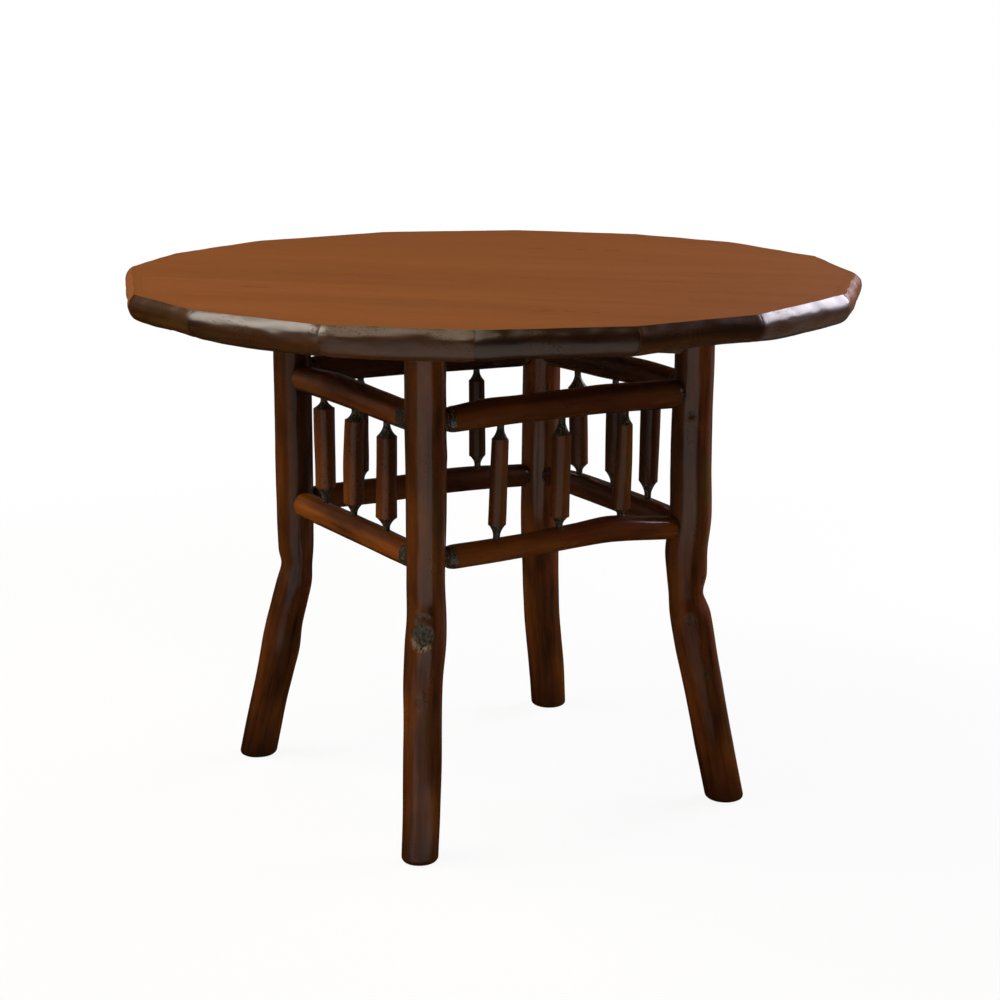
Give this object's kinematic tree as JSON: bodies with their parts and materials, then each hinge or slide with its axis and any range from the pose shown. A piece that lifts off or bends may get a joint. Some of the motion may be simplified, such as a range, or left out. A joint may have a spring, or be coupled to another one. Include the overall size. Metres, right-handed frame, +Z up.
{
  "type": "rustic pole table",
  "caption": "Round-looking rustic table with a planed board top edged in split poles, on splayed crooked pole legs joined by rungs and turned spindles.",
  "frame": {"origin": "on the floor, under the centre of the top", "axes": "+Z up, +X and +Y square to the sides of the base; the front side of the base faces -Y"},
  "size_m": [1.0662, 1.06, 0.762],
  "materials": {
    "board_wood": "satin brown stain, planed",
    "edge_pole_wood": "near-black brown gloss over peeled pole",
    "pole_wood": "dark red-brown gloss over pole bark",
    "spindle_wood": "dark red-brown gloss, dark turned necks",
    "batten_wood": "plain brown stain, sawn",
    "screw_steel": "zinc plated",
    "brad_steel": "bright"
  },
  "bodies": {
    "root": {"top_board_1": "board_wood", "top_board_2": "board_wood", "top_board_3": "board_wood", "top_board_4": "board_wood", "top_board_5": "board_wood", "top_board_6": "board_wood", "top_board_7": "board_wood", "top_board_8": "board_wood", "top_board_9": "board_wood", "top_edging_01": "edge_pole_wood", "top_edging_02": "edge_pole_wood", "top_edging_03": "edge_pole_wood", "top_edging_04": "edge_pole_wood", "top_edging_05": "edge_pole_wood", "top_edging_06": "edge_pole_wood", "top_edging_07": "edge_pole_wood", "top_edging_08": "edge_pole_wood", "top_edging_09": "edge_pole_wood", "top_edging_10": "edge_pole_wood", "top_edging_11": "edge_pole_wood", "top_edging_12": "edge_pole_wood", "top_edging_13": "edge_pole_wood", "top_edging_14": "edge_pole_wood", "top_edging_15": "edge_pole_wood", "top_edging_16": "edge_pole_wood", "batten_left": "batten_wood", "batten_middle": "batten_wood", "batten_right": "batten_wood", "leg_front_left": "pole_wood", "leg_front_right": "pole_wood", "leg_back_right": "pole_wood", "leg_back_left": "pole_wood", "rung_upper_front": "pole_wood", "rung_upper_right": "pole_wood", "rung_upper_back": "pole_wood", "rung_upper_left": "pole_wood", "rung_lower_front": "pole_wood", "rung_lower_right": "pole_wood", "rung_lower_back": "pole_wood", "rung_lower_left": "pole_wood", "spindle_front_1": "spindle_wood", "spindle_front_2": "spindle_wood", "spindle_front_3": "spindle_wood", "spindle_right_1": "spindle_wood", "spindle_right_2": "spindle_wood", "spindle_right_3": "spindle_wood", "spindle_back_1": "spindle_wood", "spindle_back_2": "spindle_wood", "spindle_back_3": "spindle_wood", "spindle_left_1": "spindle_wood", "spindle_left_2": "spindle_wood", "spindle_left_3": "spindle_wood", "batten_screws": "screw_steel", "edging_brads": "brad_steel"}
  },
  "joints": []
}
